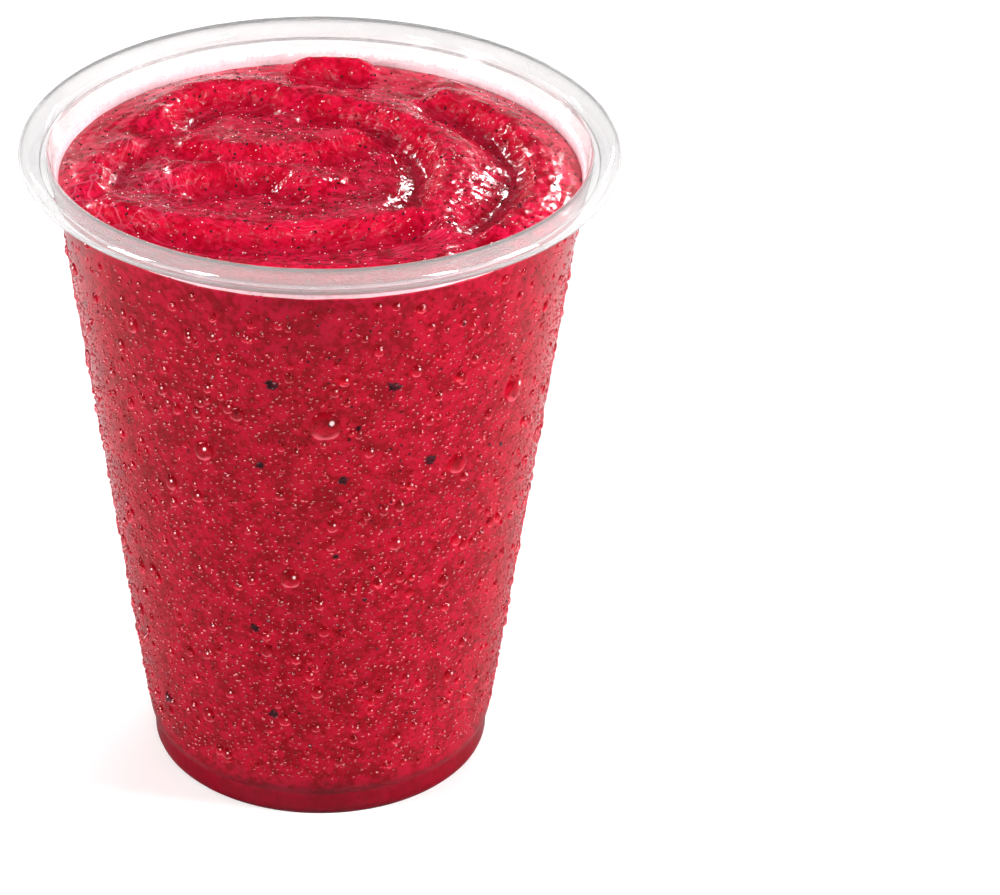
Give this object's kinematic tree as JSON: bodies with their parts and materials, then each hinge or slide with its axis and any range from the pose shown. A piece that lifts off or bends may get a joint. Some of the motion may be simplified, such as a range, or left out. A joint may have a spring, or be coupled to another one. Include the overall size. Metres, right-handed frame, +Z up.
{
  "type": "berry smoothie in a plastic cup",
  "caption": "Thick berry smoothie stirred into folds, filled to just under the rolled rim of a clear tapered plastic cup whose side is beaded with cold water.",
  "frame": {"origin": "centre of the cup's foot, on the surface that the cup stands on", "axes": "+Z up; the side that faced the camera is -Y and its right hand is +X"},
  "size_m": [0.098, 0.098, 0.1145],
  "materials": {
    "clear_plastic": "clear, glossy, with beads of water",
    "berry_smoothie": "wet fruit pulp with fine seeds"
  },
  "bodies": {
    "root": {"cup": "clear_plastic", "smoothie": "berry_smoothie"}
  },
  "joints": []
}
